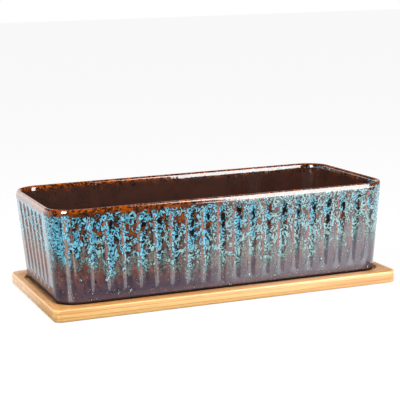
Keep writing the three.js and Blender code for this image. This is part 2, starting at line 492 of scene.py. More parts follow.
def column_facts(side, station, share):
    middles = flute_middles(side)
    number = min(range(len(middles)), key=lambda i: abs(station - middles[i]))
    across = (station - middles[number]) / FLUTE_HALF
    place, _ = outline_point(rim, side, share * side_run(rim, side))
    rise = LAND_RISE * min(across ** 2 / LAND_WIDTH, LAND_RISE_LIMIT)
    past_last = abs(station) - middles[-1] - FLUTE_HALF
    corner = min(max(past_last / CORNER_BLEND, 0), 1)
    first_pool, second_pool = flute_pools[side, number]
    return {
        "place": place,
        "run_end": flute_run_end[side, number] + rise - CORNER_DROP * corner,
        "edges": (hump(across, *LEFT_HIGHLIGHT_EDGE), hump(across, *RIGHT_EDGE), across),
        "first_pool": first_pool,
        "second_pool": second_pool,
        "corner": corner,
        "streak": hump(station, *STREAK) if side == 0 else 0,
    }


facts = [column_facts(*column) for column in columns]
print("columns on the plain corners:", sum(fact["corner"] == 1 for fact in facts))

# %% [markdown]
# Now every point gets its facts. The vector "wall_place" holds its place on the rim and its height,
# which is where the point would lie if the walls stood upright. "Scoop" is how deep in a flute it
# lies, and "inner" marks the inside. Points round the drilled holes have no row or column of their
# own that can be trusted, so they count as part of the floor.

# %% Write the facts on the pot
HOLE_SURROUND = 2


def read_numbers(name):
    numbers = np.zeros(len(pot.data.vertices), np.int32)
    pot.data.attributes[name].data.foreach_get("value", numbers)
    return numbers


rows = read_numbers("row")
column_numbers = read_numbers("column")
near_hole = [hole_distance(vertex.co) < DRAIN_HOLE_RADIUS + HOLE_SURROUND for vertex in pot.data.vertices]
rows[np.array(near_hole)] = len(profile) - 1
heights = np.array([step[0] for step in profile])[rows]
zones = np.array([step[2] for step in profile])[rows]


def by_column(name):
    return np.array([fact[name] for fact in facts])[column_numbers]


scoops = [
    [scoop(side, station, height) if zone == "wall" else 0 for side, station, share in columns]
    for height, inset, zone in profile
]
edge_strength = [min(2 * arch_room(height), 1) * flute_fade(height) for height, inset, zone in profile]
along_flute = np.clip(edge_strength, 0, 1)[rows] * (zones == "wall")
edges = by_column("edges")
edges[:, :2] *= along_flute[:, None]

write_attribute(pot, "wall_place", np.column_stack((by_column("place"), heights)) * MM)
write_attribute(pot, "scoop", np.array(scoops)[rows, column_numbers])
write_attribute(pot, "edges", edges)
for name in ("run_end", "first_pool", "second_pool"):
    write_attribute(pot, name, by_column(name) * MM)
for name in ("corner", "streak"):
    write_attribute(pot, name, by_column(name))
write_attribute(pot, "inner", zones == "inside")
print("points in each zone:", {str(zone): int((zones == zone).sum()) for zone in np.unique(zones)})

# %% [markdown]
# The finest patterns are drawn on a flat sheet instead: the wall unrolled, with the way round the
# rim as its length and the height as its width. A flat pattern keeps its shape on the corners,
# where one cut from a block would be stretched. Its two ends meet on the pot, and the points there
# lie at zero for the faces on one side and at the rim's full length for those on the other. That
# is why the sheet is stored for each corner of a face, and not for each point.

# %% Unroll the wall into a sheet
rim_steps = [(facts[i]["place"] - facts[i - 1]["place"]).length for i in range(len(facts))]
rim_distances = np.cumsum(rim_steps)
ROUND_THE_RIM = rim_distances[-1]
rim_distances[0] = 0
sheet = []
for face in pot.data.polygons:
    distances = rim_distances[column_numbers[list(face.vertices)]]
    wraps = distances.max() - distances.min() > ROUND_THE_RIM / 2
    for distance, number in zip(distances, face.vertices):
        past_seam = ROUND_THE_RIM if wraps and distance < ROUND_THE_RIM / 2 else 0
        sheet.append((distance + past_seam, heights[number], 0))
write_attribute(pot, "sheet", np.array(sheet) * MM, "CORNER")
print("way round the rim:", round(ROUND_THE_RIM, 1), "mm")

# %% [markdown]
# ## The tray
# The tray is one thick board. It starts as a block whose upright edges are rounded. Its top face is
# inset, and that inset loop is laid on the outline of the recess, so the same number of points goes
# round both and no face is wasted. The recess is then pushed down, and the edges are eased last.

# %% Sizes of the tray
TRAY_LENGTH = 308
TRAY_WIDTH = 156
TRAY_CORNER = 7
TRAY_EASING = 1.3
RECESS_CLEARANCE = 3
RECESS_EASING = 0.7
RECESS_FILLET = 0.6
tray_low, tray_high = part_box("tray")
TRAY_THICKNESS = (tray_high.z - tray_low.z) / MM
RECESS_DEPTH = TRAY_THICKNESS - SEAT_HEIGHT
print("tray thickness and recess depth:", round(TRAY_THICKNESS, 2), round(RECESS_DEPTH, 2), "mm")


# %% [markdown]
# Faces and edges are picked by where they are. An edge is found by its height and by how far it
# lies outside or inside the tray's outline, which tells the outer edges from those of the recess.

# %% Helpers that select by place
FACING_UP = 0.99
SAME_HEIGHT = 0.01


def select_edges(piece, wanted):
    shape = bmesh.from_edit_mesh(piece.data)
    bpy.ops.mesh.select_mode(type="EDGE")
    bpy.ops.mesh.select_all(action="DESELECT")
    chosen = [edge for edge in shape.edges if wanted(edge)]
    for edge in chosen:
        edge.select_set(True)
    bmesh.update_edit_mesh(piece.data)
    return len(chosen)


def select_top_face(piece):
    shape = bmesh.from_edit_mesh(piece.data)
    bpy.ops.mesh.select_mode(type="FACE")
    bpy.ops.mesh.select_all(action="DESELECT")
    facing_up = [face for face in shape.faces if face.normal.z > FACING_UP]
    top = max(facing_up, key=lambda face: (face.calc_center_median().z, face.calc_area()))
    top.select_set(True)
    area = top.calc_area()
    bmesh.update_edit_mesh(piece.data)
    return area


def past_outline(point):
    return max(abs(point.x) - TRAY_LENGTH / 2, abs(point.y) - TRAY_WIDTH / 2)


def is_level_loop(edge, height, zone):
    ends = [vertex.co / MM for vertex in edge.verts]
    if any(abs(end.z - height) > SAME_HEIGHT for end in ends):
        return False
    return all(zone[0] <= past_outline(end) <= zone[1] for end in ends)


# %% [markdown]
# The block's upright edges are beveled into round corners, and the top face is inset. Each point
# of the inset loop then moves to the point of the recess's outline that lies in its direction.

# %% Shape the tray
FIRST_INSET = 5
deselect_all()
bpy.ops.mesh.primitive_cube_add(size=MM, location=(0, 0, TRAY_THICKNESS / 2 * MM))
tray = bpy.context.active_object
tray.name = "bamboo_tray"
bpy.ops.object.mode_set(mode="EDIT")
bpy.ops.mesh.select_all(action="SELECT")
bpy.ops.transform.resize(value=(TRAY_LENGTH, TRAY_WIDTH, TRAY_THICKNESS))
bpy.ops.object.mode_set(mode="OBJECT")
bpy.ops.object.transform_apply(location=True, rotation=True, scale=True)
bpy.ops.object.mode_set(mode="EDIT")
upright = select_edges(tray, lambda edge: abs(edge.verts[0].co.z - edge.verts[1].co.z) > MM)
bpy.ops.mesh.bevel(offset=TRAY_CORNER * MM, segments=12, profile=0.5)
top_area = select_top_face(tray)
bpy.ops.mesh.inset(thickness=FIRST_INSET * MM)

recess = level(0, -RECESS_CLEARANCE)
shape = bmesh.from_edit_mesh(tray.data)
inset_loop = [vertex for vertex in shape.verts if vertex.select]
for vertex in inset_loop:
    from_x = abs(vertex.co.x) / MM - (TRAY_LENGTH / 2 - TRAY_CORNER)
    from_y = abs(vertex.co.y) / MM - (TRAY_WIDTH / 2 - TRAY_CORNER)
    angle = math.atan2(max(from_y, 0), max(from_x, 0))
    along = recess[0] - recess["corner"] * (1 - math.cos(angle))
    aside = recess[1] - recess["corner"] * (1 - math.sin(angle))
    vertex.co.x = math.copysign(along, vertex.co.x) * MM
    vertex.co.y = math.copysign(aside, vertex.co.y) * MM
bmesh.update_edit_mesh(tray.data)
bpy.ops.mesh.extrude_region_move(TRANSFORM_OT_translate={"value": (0, 0, -RECESS_DEPTH * MM)})
print("upright edges rounded:", upright, " points round the recess:", len(inset_loop))
print("top of the board:", round(top_area * 10000), "square centimetres")

# %% [markdown]
# A router leaves no sharp edge on such a board. The recess gets a small easing above and a fillet
# below, and the outline a larger easing on its upper and lower edge.

# %% Ease the edges of the tray
RECESS_ZONE = (-60, -3)
OUTLINE_ZONE = (-2.5, 0.1)
EASINGS = (
    (TRAY_THICKNESS, RECESS_ZONE, RECESS_EASING, 3),
    (SEAT_HEIGHT, RECESS_ZONE, RECESS_FILLET, 3),
    (TRAY_THICKNESS, OUTLINE_ZONE, TRAY_EASING, 4),
    (0, OUTLINE_ZONE, TRAY_EASING, 4),
)
eased = []
for height, zone, easing, segments in EASINGS:
    eased.append(select_edges(tray, lambda edge: is_level_loop(edge, height, zone)))
    bpy.ops.mesh.bevel(offset=easing * MM, segments=segments)
bpy.ops.object.mode_set(mode="OBJECT")
smooth_below(35)
print("edges eased:", eased)

# %% [markdown]
# ## The drain screens
# A drain screen is a moulded plastic net that lies loose over a drain hole and lets only water
# through. A disc is cut through by square posts, as many as fit inside its rim, and its sharp edges
# are then taken off with a bevel. The left one is modelled and the right one is its copy, with a
# mesh of its own.

# %% Shape the drain screens
SCREEN_DIAMETER = 42
SCREEN_THICKNESS = 1.2
SCREEN_RIM = 2.2
SCREEN_GAP = 4.8
SCREEN_BAR = 1.4
SCREEN_EASING = 0.22
screen_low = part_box("drain_screen_left")[0].z / MM
screen_middle = screen_low + SCREEN_THICKNESS / 2

deselect_all()
bpy.ops.mesh.primitive_cylinder_add(
    vertices=72, radius=SCREEN_DIAMETER / 2 * MM, depth=SCREEN_THICKNESS * MM,
    location=(-DRAIN_HOLE_X * MM, 0, screen_middle * MM),
)
left_screen = bpy.context.active_object
left_screen.name = "drain_net_left"
bpy.ops.object.transform_apply(location=True, rotation=True, scale=True)

pitch = SCREEN_GAP + SCREEN_BAR
reach = math.ceil(SCREEN_DIAMETER / 2 / pitch)
posts = []
for across in range(-reach, reach + 1):
    for deep in range(-reach, reach + 1):
        far = math.hypot(abs(across) * pitch + SCREEN_GAP / 2, abs(deep) * pitch + SCREEN_GAP / 2)
        if far < SCREEN_DIAMETER / 2 - SCREEN_RIM:
            place = (-DRAIN_HOLE_X + across * pitch, deep * pitch, screen_middle)
            bpy.ops.mesh.primitive_cube_add(size=SCREEN_GAP * MM, location=Vector(place) * MM)
            posts.append(bpy.context.active_object)
deselect_all()
for post in posts:
    post.select_set(True)
bpy.context.view_layer.objects.active = posts[0]
bpy.ops.object.join()
cutter = bpy.context.active_object
apply_modifier(left_screen, "BOOLEAN", operation="DIFFERENCE", object=cutter, solver="EXACT")
bpy.data.objects.remove(cutter)
apply_modifier(left_screen, "BEVEL", width=SCREEN_EASING * MM, segments=2, limit_method="ANGLE")
smooth_below(35)

pick(left_screen)
bpy.ops.object.duplicate()
right_screen = bpy.context.active_object
right_screen.name = "drain_net_right"
right_screen.location.x += 2 * DRAIN_HOLE_X * MM
bpy.ops.object.transform_apply(location=True, rotation=True, scale=True)
screens = (left_screen, right_screen)
print("openings in each screen:", len(posts), " faces:", len(left_screen.data.polygons))

# %% [markdown]
# ## Helpers for materials
# A material here is a small graph of nodes. Each helper adds one node, feeds it numbers or the
# outputs of other nodes, and returns its output, so a finish reads like a recipe. Colours are
# written as on a paint chart, from 0 to 255, and turned into the linear values that a shader uses.

# %% Helpers that add one node
GRAPH_COLUMNS = 12
GRAPH_STEP = (200, -260)


def paint(red, green, blue):
    def linear(value):
        share = value / 255
        return share / 12.92 if share <= 0.04045 else ((share + 0.055) / 1.055) ** 2.4
    return linear(red), linear(green), linear(blue), 1


def add(tree, kind, **settings):
    node = tree.nodes.new("ShaderNode" + kind)
    row, column = divmod(len(tree.nodes), GRAPH_COLUMNS)
    node.location = (column * GRAPH_STEP[0], row * GRAPH_STEP[1])
    for name, value in settings.items():
        setattr(node, name, value)
    return node


def feed(tree, socket, value):
    if isinstance(value, bpy.types.NodeSocket):
        tree.links.new(value, socket)
    else:
        socket.default_value = value


def feed_all(tree, node, *values):
    for socket, value in zip(node.inputs, values):
        feed(tree, socket, value)
    return node.outputs


def calculate(tree, operation, *values):
    return feed_all(tree, add(tree, "Math", operation=operation), *values)[0]


def calculate_vector(tree, operation, *values):
    return feed_all(tree, add(tree, "VectorMath", operation=operation), *values)[0]


def step(tree, value, low, high, bottom=0, top=1):
    node = add(tree, "MapRange", interpolation_type="SMOOTHSTEP")
    return feed_all(tree, node, value, low, high, bottom, top)[0]


def split(tree, kind, value):
    return feed_all(tree, add(tree, "Separate" + kind), value)


def mix(tree, share, first, second):
    node = add(tree, "Mix", data_type="RGBA")
    feed(tree, node.inputs[0], share)
    feed(tree, node.inputs[6], first)
    feed(tree, node.inputs[7], second)
    return node.outputs[2]


def noise(tree, place, scale, detail=2, roughness=0.5, distortion=0):
    node = add(tree, "TexNoise")
    settings = {"Vector": place, "Scale": scale, "Detail": detail}
    settings.update({"Roughness": roughness, "Distortion": distortion})
    for name, value in settings.items():
        feed(tree, node.inputs[name], value)
    return node


def cloud(*settings):
    return noise(*settings).outputs["Fac"]


def cells(tree, place, scale, dimensions="3D"):
    node = add(tree, "TexVoronoi", voronoi_dimensions=dimensions)
    feed(tree, node.inputs["Vector"], place)
    feed(tree, node.inputs["Scale"], scale)
    return node


def attribute(tree, name, output="Fac"):
    return add(tree, "Attribute", attribute_name=name).outputs[output]


def object_place(tree):
    return add(tree, "TexCoord").outputs["Object"]


# %% [markdown]
# Sums and products of many values would need a line for each node, so these helpers add a whole
# chain. The others make a new material or a node group, place a group in a tree, and give a
# finish its relief.

# %% Helpers that add several nodes
def times(tree, *values):
    product = values[0]
    for value in values[1:]:
        product = calculate(tree, "MULTIPLY", product, value)
    return product


def larger(tree, *values):
    largest = values[0]
    for value in values[1:]:
        largest = calculate(tree, "MAXIMUM", largest, value)
    return largest


def total(tree, start, *weighted):
    for value, weight in weighted:
        start = calculate(tree, "MULTIPLY_ADD", value, weight, start)
    return start


def minus(tree, value, taken):
    return calculate(tree, "SUBTRACT", value, taken)


def rest_of(tree, share):
    return minus(tree, 1, share)


def new_material(name):
    material = bpy.data.materials.new(name)
    material.use_nodes = True
    return material, material.node_tree, material.node_tree.nodes["Principled BSDF"]


def add_relief(tree, shader, distance, strength, height):
    bump = add(tree, "Bump")
    bump.inputs["Distance"].default_value = distance
    bump.inputs["Strength"].default_value = strength
    feed(tree, bump.inputs["Height"], height)
    feed(tree, shader.inputs["Normal"], bump.outputs[0])
    return bump.outputs[0]


def new_group(name, inputs, outputs):
    group = bpy.data.node_groups.new(name, "ShaderNodeTree")
    for label, kind in inputs:
        group.interface.new_socket(name=label, in_out="INPUT", socket_type="NodeSocket" + kind)
    for label, kind in outputs:
        group.interface.new_socket(name=label, in_out="OUTPUT", socket_type="NodeSocket" + kind)
    start = group.nodes.new("NodeGroupInput")
    end = group.nodes.new("NodeGroupOutput")
    return group, start.outputs, end.inputs


def use_group(tree, group, **values):
    node = add(tree, "Group", node_tree=group)
    for name, value in values.items():
        feed(tree, node.inputs[name], value)
    return node.outputs


# %% [markdown]
# Two effects come back in several finishes, so each is a node group. "Specks" scatters small round
# dots: every cell of a Voronoi pattern may hold one, and a share of them does. "Curdle" draws out
# a cloud into curls, as two layers of glaze part in the kiln: one noise bends the place at which a
# second noise is read. It gives that cloud, and the bent place for other patterns to follow.

# %% The speck and curdle groups
SPECK_CORE = 0.6
specks, speck_in, speck_out = new_group(
    "specks",
    [("Place", "Vector"), ("Scale", "Float"), ("Share", "Float"), ("Size", "Float")],
    [("Mask", "Float"), ("Shade", "Float")],
)
speck_cells = cells(specks, speck_in["Place"], speck_in["Scale"])
speck_chance = split(specks, "Color", speck_cells.outputs["Color"])
speck_kept = calculate(specks, "LESS_THAN", speck_chance[0], speck_in["Share"])
speck_core = times(specks, speck_in["Size"], SPECK_CORE)
speck_dot = step(specks, speck_cells.outputs["Distance"], speck_in["Size"], speck_core)
feed(specks, speck_out["Mask"], times(specks, speck_dot, speck_kept))
feed(specks, speck_out["Shade"], speck_chance[1])

curdle, curdle_in, curdle_out = new_group(
    "curdle",
    [("Place", "Vector"), ("Scale", "Float"), ("Bend", "Float")],
    [("Cloud", "Float"), ("Bent Place", "Vector")],
)
curdle_bend = noise(curdle, curdle_in["Place"], curdle_in["Scale"], 2).outputs["Color"]
curdle_push = calculate_vector(curdle, "SUBTRACT", curdle_bend, (0.5, 0.5, 0.5))
curdle_scaled = add(curdle, "VectorMath", operation="SCALE")
feed(curdle, curdle_scaled.inputs[0], curdle_push)
feed(curdle, curdle_scaled.inputs["Scale"], curdle_in["Bend"])
curdle_place = calculate_vector(curdle, "ADD", curdle_in["Place"], curdle_scaled.outputs[0])
feed(curdle, curdle_out["Cloud"], cloud(curdle, curdle_place, curdle_in["Scale"], 2.5, 0.55))
feed(curdle, curdle_out["Bent Place"], curdle_place)
print("node groups:", [group.name for group in bpy.data.node_groups])

# %% [markdown]
# ## The reactive glaze
# The real pot was dipped in a dark brown glaze, and a turquoise one was laid thickly over its upper
# half. In the kiln the turquoise ran down the flutes, curdled into curls over the brown, and left
# specks behind. Where glaze is thin, on the lip and on the edges of the flutes, iron burns through
# as rust. The finish is built in that order: brown body, rust, turquoise runs, dark pools, specks.
# It reads the facts on the pot, and every length in it is in metres. A pair such as UPPER_WALL is
# where a step begins and ends, a height above the foot unless it says otherwise.

# %% Glaze: read the facts
RIGHT_HALF = (-0.10, 0.10)
FAR_RIGHT = (0.06, 0.13)
UPPER_WALL = (0.050, 0.062)
glaze, tree, shader = new_material("reactive_glaze")
wall_place = attribute(tree, "wall_place", "Vector")
sheet_place = attribute(tree, "sheet", "Vector")
scooped = attribute(tree, "scoop")
corner = attribute(tree, "corner")
inner = attribute(tree, "inner")
outer = rest_of(tree, inner)
left_highlight_edge, right_edge, across = split(tree, "XYZ", attribute(tree, "edges", "Vector"))
lengthwise, _, height = split(tree, "XYZ", wall_place)
rightward = step(tree, lengthwise, *RIGHT_HALF)
far_right = step(tree, lengthwise, *FAR_RIGHT)
upper_wall = step(tree, height, *UPPER_WALL)
print("glaze nodes for the facts:", len(tree.nodes))

# %% [markdown]
# The body is three browns with soft borders: plum at the foot, a red brown in the middle, and nearly
# black with warm patches under the turquoise. Towards the right the red brown is painted paler, grey plum
# and then slate, as a painted sheen of light on the wall. The borders are steps on the height, and a
# cloud pushed into that height makes them ragged.

# %% Glaze: the brown body, with a painted sheen on the right
PLUM = (paint(50, 42, 60), paint(76, 63, 80))
RED_BROWN = (paint(52, 38, 46), paint(106, 70, 68))
SHEEN_GREY_PLUM = paint(78, 70, 84)
SHEEN_SLATE = paint(62, 68, 86)
BURNT = (paint(10, 6, 6), paint(104, 52, 24))
PLUM_ENDS = (0.016, 0.036)
BURNT_STARTS = (0.052, 0.072)
BORDER_WANDER = 0.016
RUN_DOWN = (1, 1, 0.65)
running_place = calculate_vector(tree, "MULTIPLY", wall_place, RUN_DOWN)
body_cloud = cloud(tree, running_place, 140, 3, 0.6)
body_patches = step(tree, body_cloud, 0.35, 0.65)
low_body = mix(tree, body_cloud, *PLUM)
middle_body = mix(tree, body_patches, *RED_BROWN)
# Painted sheen: the red brown is painted paler and bluer towards the right, as light glinting on the
# wall.
middle_body = mix(tree, times(tree, rightward, 0.6), middle_body, SHEEN_GREY_PLUM)
middle_body = mix(tree, times(tree, far_right, 0.8), middle_body, SHEEN_SLATE)
high_body = mix(tree, body_patches, *BURNT)
body_height = total(tree, height, (body_cloud, BORDER_WANDER))
colour = mix(tree, step(tree, body_height, *PLUM_ENDS), low_body, middle_body)
colour = mix(tree, step(tree, body_height, *BURNT_STARTS), colour, high_body)
print("glaze nodes with the body:", len(tree.nodes))

# %% [markdown]
# Rust shows where the glaze is thin: in patches on the lands between the flutes, in a line down the right
# edge of each flute, and in the streak beside the corner. Down the left edge of each flute runs a painted
# highlight: a salmon line, rust with light painted on it, strongest on the right half of the wall.

# %% Glaze: rust, thin edges and a painted highlight
LOW_RUST = paint(112, 60, 40)
HIGH_RUST = paint(140, 64, 2)
EDGE_HIGHLIGHT_SALMON = paint(166, 98, 76)
RUST_BRIGHTENS = (0.045, 0.062)
LAND_RUST_STARTS = (0.050, 0.060)
EDGE_RUST_STARTS = (0.008, 0.026)
STREAK_STARTS = (0.042, 0.048)
STREAK_ENDS = (0.0730, 0.0710)
EDGE_HIGHLIGHT_STARTS = (0.014, 0.034)
rust_cloud = cloud(tree, running_place, 95, 3, 0.65, 0.4)
rust = mix(tree, step(tree, height, *RUST_BRIGHTENS), LOW_RUST, HIGH_RUST)
land = rest_of(tree, step(tree, scooped, 0.02, 0.3))
land_patches = step(tree, rust_cloud, 0.52, 0.60)
land_rust = times(tree, land, land_patches, step(tree, height, *LAND_RUST_STARTS))
edge_patches = step(tree, rust_cloud, 0.36, 0.54, 0.2, 0.95)
edge_rust = times(tree, right_edge, edge_patches, step(tree, height, *EDGE_RUST_STARTS))
streak = times(tree, attribute(tree, "streak"), step(tree, height, *STREAK_STARTS))
streak = times(tree, streak, step(tree, height, *STREAK_ENDS))
rust_share = times(tree, larger(tree, land_rust, edge_rust, streak), outer)
colour = mix(tree, rust_share, colour, rust)
# Painted highlight: a rust-tinted salmon line down each flute's left edge, stronger to the right.
edge_highlight_strength = step(tree, lengthwise, -0.12, 0.02, 0.6, 1)
edge_highlight = times(tree, left_highlight_edge, edge_highlight_strength, step(tree, height, *EDGE_HIGHLIGHT_STARTS))
colour = mix(tree, times(tree, edge_highlight, outer), colour, EDGE_HIGHLIGHT_SALMON)
print("glaze nodes with the rust:", len(tree.nodes))

# %% [markdown]
# The turquoise covers the wall from the lip down to the end of each run, with ragged borders at
# both. Its cover is a sum of what makes a glaze lie thick or thin there, and the thicker it is, the
# larger the share of a curdled noise that is kept as a patch of turquoise. A slightly larger share
# of the same noise gives every patch its dark outline.

# %% Glaze: where the turquoise lies
RUN_RAGGEDNESS = 0.026
RUN_ENDS = (-0.014, 0.012)
LIP_RAGGEDNESS = 0.006
LEAST_COVER = 0.54
PATCH_THRESHOLD = 0.66
COVER_PULL = -0.32
LIP_START_LEFT = 0.0780
LIP_START_RIGHT = 0.0802
UNDER_LIP = (-0.002, 0.001)
SHEET_RUN_DOWN = (1, 0.7, 1)
lip_start = step(tree, lengthwise, -0.02, 0.03, LIP_START_LEFT, LIP_START_RIGHT)
running_sheet = calculate_vector(tree, "MULTIPLY", sheet_place, SHEET_RUN_DOWN)
twist = use_group(tree, curdle, Place=running_sheet, Scale=170, Bend=0.006)
ragged = cloud(tree, running_sheet, 200, 3, 0.6)
ragged_edge = calculate(tree, "MULTIPLY_ADD", ragged, RUN_RAGGEDNESS, -RUN_RAGGEDNESS / 2)
run_height = calculate(tree, "ADD", height, ragged_edge)
above_end = minus(tree, run_height, attribute(tree, "run_end"))
run_cover = step(tree, above_end, *RUN_ENDS)
below_lip = minus(tree, lip_start, total(tree, height, (ragged, LIP_RAGGEDNESS)))
thickly = larger(tree, scooped, corner)
upper_right = times(tree, rightward, upper_wall)
# Besides the glaze's thickness, the painted highlight on each left edge takes turquoise away.
full_cover = total(
    tree, LEAST_COVER,
    (thickly, 0.50), (corner, 0.12), (rightward, 0.06), (edge_highlight, -0.55), (streak, -0.9),
    (upper_right, 0.18), (times(tree, scooped, across), 0.2),
)
run_cover_below = times(tree, run_cover, step(tree, below_lip, *UNDER_LIP))
cover = times(tree, full_cover, run_cover_below)
threshold = total(tree, PATCH_THRESHOLD, (cover, COVER_PULL))
patches = cloud(tree, twist["Bent Place"], 210, 3, 0.6)
spare = minus(tree, patches, threshold)
kept = times(tree, step(tree, spare, 0, 0.015), outer)
near_kept = times(tree, step(tree, spare, -0.045, -0.025), outer)
print("glaze nodes with the cover:", len(tree.nodes))

# %% [markdown]
# Inside the patches the dark glaze comes up again in squiggly lines, and in round eyes high on the
# wall and on the corners. Both are cut from one noise: a line is where it passes its middle value,
# and an eye is where it comes near a top or a bottom.

# %% Glaze: dark squiggles and eyes in the turquoise
LINE_EDGES = (0.058, 0.036)
LOW_EYE_START = 0.170
HIGH_EYE_SHIFT = -0.035
EYE_EDGE = 0.015
CORNER_THINNING = 0.012
squiggle = cloud(tree, twist["Bent Place"], 310, 1.5, 0.5)
off_line = calculate(tree, "ABSOLUTE", minus(tree, squiggle, 0.5))
off_line = total(tree, off_line, (corner, CORNER_THINNING))
squiggle_line = step(tree, off_line, *LINE_EDGES)
eye_band = larger(tree, corner, upper_wall)
eye_start = total(tree, LOW_EYE_START, (eye_band, HIGH_EYE_SHIFT))
eyes = step(tree, minus(tree, off_line, eye_start), 0, EYE_EDGE)
line_share = larger(tree, squiggle_line, eyes)
dark_share = larger(tree, near_kept, times(tree, line_share, kept))
turquoise_share = times(tree, kept, rest_of(tree, line_share))
print("glaze nodes with the squiggles:", len(tree.nodes))

# %% [markdown]
# Under the lip the two glazes part into rings: a dark disc with a bright ring in it. Each cell of a
# bent Voronoi pattern may hold one, most often in a narrow band under the lip, and elsewhere only
# in the hollows and on the corners. Every cell draws its own size.

# %% Glaze: rings under the lip
RING_SCALE = 165
BAND_CHANCE = 0.6
HOLLOW_CHANCE = 0.3
SMALLEST_RING = 0.6
RING_SPREAD = 0.5
RING_BAND = (0.0690, 0.0715)
RING_UNDER_LIP = (-0.002, 0)
ring_twist = use_group(tree, curdle, Place=sheet_place, Scale=300, Bend=0.005)
rings = cells(tree, ring_twist["Bent Place"], RING_SCALE, "2D")
ring_chance = split(tree, "Color", rings.outputs["Color"])
ring_band = step(tree, height, *RING_BAND)
hollow = larger(tree, step(tree, scooped, 0.3, 0.6), corner)
ring_room = times(tree, hollow, HOLLOW_CHANCE, step(tree, cover, 0.5, 0.6))
ring_rarity = minus(tree, rest_of(tree, ring_room), times(tree, ring_band, BAND_CHANCE))
ring_kept = calculate(tree, "GREATER_THAN", ring_chance[0], ring_rarity)
ring_kept = times(tree, ring_kept, outer, step(tree, below_lip, *RING_UNDER_LIP))
ring_size = calculate(tree, "MULTIPLY_ADD", ring_chance[1], RING_SPREAD, SMALLEST_RING)
ring_place = calculate(tree, "DIVIDE", rings.outputs["Distance"], ring_size)
ring_disc = times(tree, ring_kept, step(tree, ring_place, 0.60, 0.54))
ring_bright = times(tree, step(tree, ring_place, 0.44, 0.38), step(tree, ring_place, 0.15, 0.21))
dark_share = larger(tree, dark_share, ring_disc)
turquoise_share = times(tree, turquoise_share, rest_of(tree, ring_disc))
turquoise_share = larger(tree, turquoise_share, times(tree, ring_bright, ring_kept))
print("glaze nodes with the rings:", len(tree.nodes))

# %% [markdown]
# Each flute holds one or two dark pools near its top, where the brown glaze gathered. A pool is an
# ellipse at the height that chance gave it. It wanders sideways with the curdled cloud, and the
# squiggle noise frays its border.

# %% Glaze: pools in the flutes
POOL_HALF_WIDTH = 0.46
POOL_HALF_HEIGHT = 0.0038
POOL_FRAYING = 5
POOL_BORDER = (1.3, 1.0)
wander = calculate(tree, "MULTIPLY_ADD", twist["Cloud"], 3, -0.95)
sideways = calculate(tree, "DIVIDE", minus(tree, across, wander), POOL_HALF_WIDTH)
fraying = calculate(tree, "MULTIPLY_ADD", squiggle, POOL_FRAYING, -POOL_FRAYING / 2)
pool_share = 0
for name in ("first_pool", "second_pool"):
    upward = minus(tree, height, attribute(tree, name))
    upward = calculate(tree, "DIVIDE", upward, POOL_HALF_HEIGHT)
    squares = [calculate(tree, "POWER", part, 2) for part in (sideways, upward)]
    apart = calculate(tree, "ADD", calculate(tree, "ADD", *squares), fraying)
    pool_share = larger(tree, pool_share, step(tree, apart, *POOL_BORDER))
pool_share = times(tree, pool_share, step(tree, scooped, 0.10, 0.25))
print("glaze nodes with the pools:", len(tree.nodes))

# %% [markdown]
# Now the colours go on: first the dark outlines, then the turquoise, then the pools. The turquoise is
# bright and blue where it lies thick, in the hollows and on the corners, and grey where it is thin or
# near its end. Towards the right it is painted greyer, and the dark outlines fainter, as a painted sheen
# of light on the glaze. One tone number picks between the two.

# %% Glaze: colours of the turquoise and its outlines
DARK_LINE = (paint(4, 3, 5), paint(26, 16, 14))
BRIGHT = (paint(52, 160, 204), paint(136, 218, 234))
GREYED = (paint(110, 162, 168), paint(168, 208, 210))
POOL_BLACK = paint(3, 3, 5)
POOL_RUST = paint(104, 44, 6)
ROUND_THE_POOLS = (0.054, 0.062)
GREY_TO_BRIGHT = (0.50, 0.86)
dark_line = mix(tree, twist["Cloud"], *DARK_LINE)
# Painted sheen: the dark outlines fade towards the right.
outline_strength_under_sheen = total(tree, 0.97, (rightward, -0.22))
colour = mix(tree, times(tree, dark_share, outline_strength_under_sheen), colour, dark_line)
fine_twist = use_group(tree, curdle, Place=sheet_place, Scale=420, Bend=0.002)
near_end = step(tree, above_end, 0, 0.030, -0.20, 0.12)
round_pools = times(tree, step(tree, height, *ROUND_THE_POOLS), scooped)
# The lengthwise term paints the turquoise greyer towards the right, as a painted sheen.
tone = total(
    tree, cloud(tree, sheet_place, 70, 2),
    (thickly, 0.25), (near_end, 1), (lengthwise, -2.2), (round_pools, 0.22), (corner, 0.25),
)
bright_turquoise = mix(tree, fine_twist["Cloud"], *BRIGHT)
grey_turquoise = mix(tree, fine_twist["Cloud"], *GREYED)
turquoise = mix(tree, step(tree, tone, *GREY_TO_BRIGHT), grey_turquoise, bright_turquoise)
colour = mix(tree, turquoise_share, colour, turquoise)
pool_colour = mix(tree, step(tree, rust_cloud, 0.50, 0.60), POOL_BLACK, POOL_RUST)
colour = mix(tree, pool_share, colour, pool_colour)
print("glaze nodes with the turquoise:", len(tree.nodes))

# %% [markdown]
# Below the runs, thin trails of grey green thread over the brown: the crests of a folded cloud, kept
# only where a run fades. Pale specks lie all over, most of them low on the wall.

# %% Glaze: trails and specks
TRAIL_COLOUR = paint(104, 146, 142)
TRAIL_FOLDS = 5
SAND = paint(158, 138, 108)
MINT = paint(140, 166, 152)
trail_low = step(tree, above_end, -0.020, 0)
trail = use_group(tree, curdle, Place=wall_place, Scale=420, Bend=0.003)
folded = calculate(tree, "PINGPONG", times(tree, trail["Cloud"], TRAIL_FOLDS), 0.5)
trail_level = total(tree, times(tree, folded, 2), (trail_low, 0.34))
trail_share = times(tree, step(tree, trail_level, 0.92, 1.05), trail_low, rest_of(tree, run_cover))
trail_share = times(tree, step(tree, trail_share, 0.25, 0.45), outer)
colour = mix(tree, times(tree, trail_share, 0.8), colour, TRAIL_COLOUR)

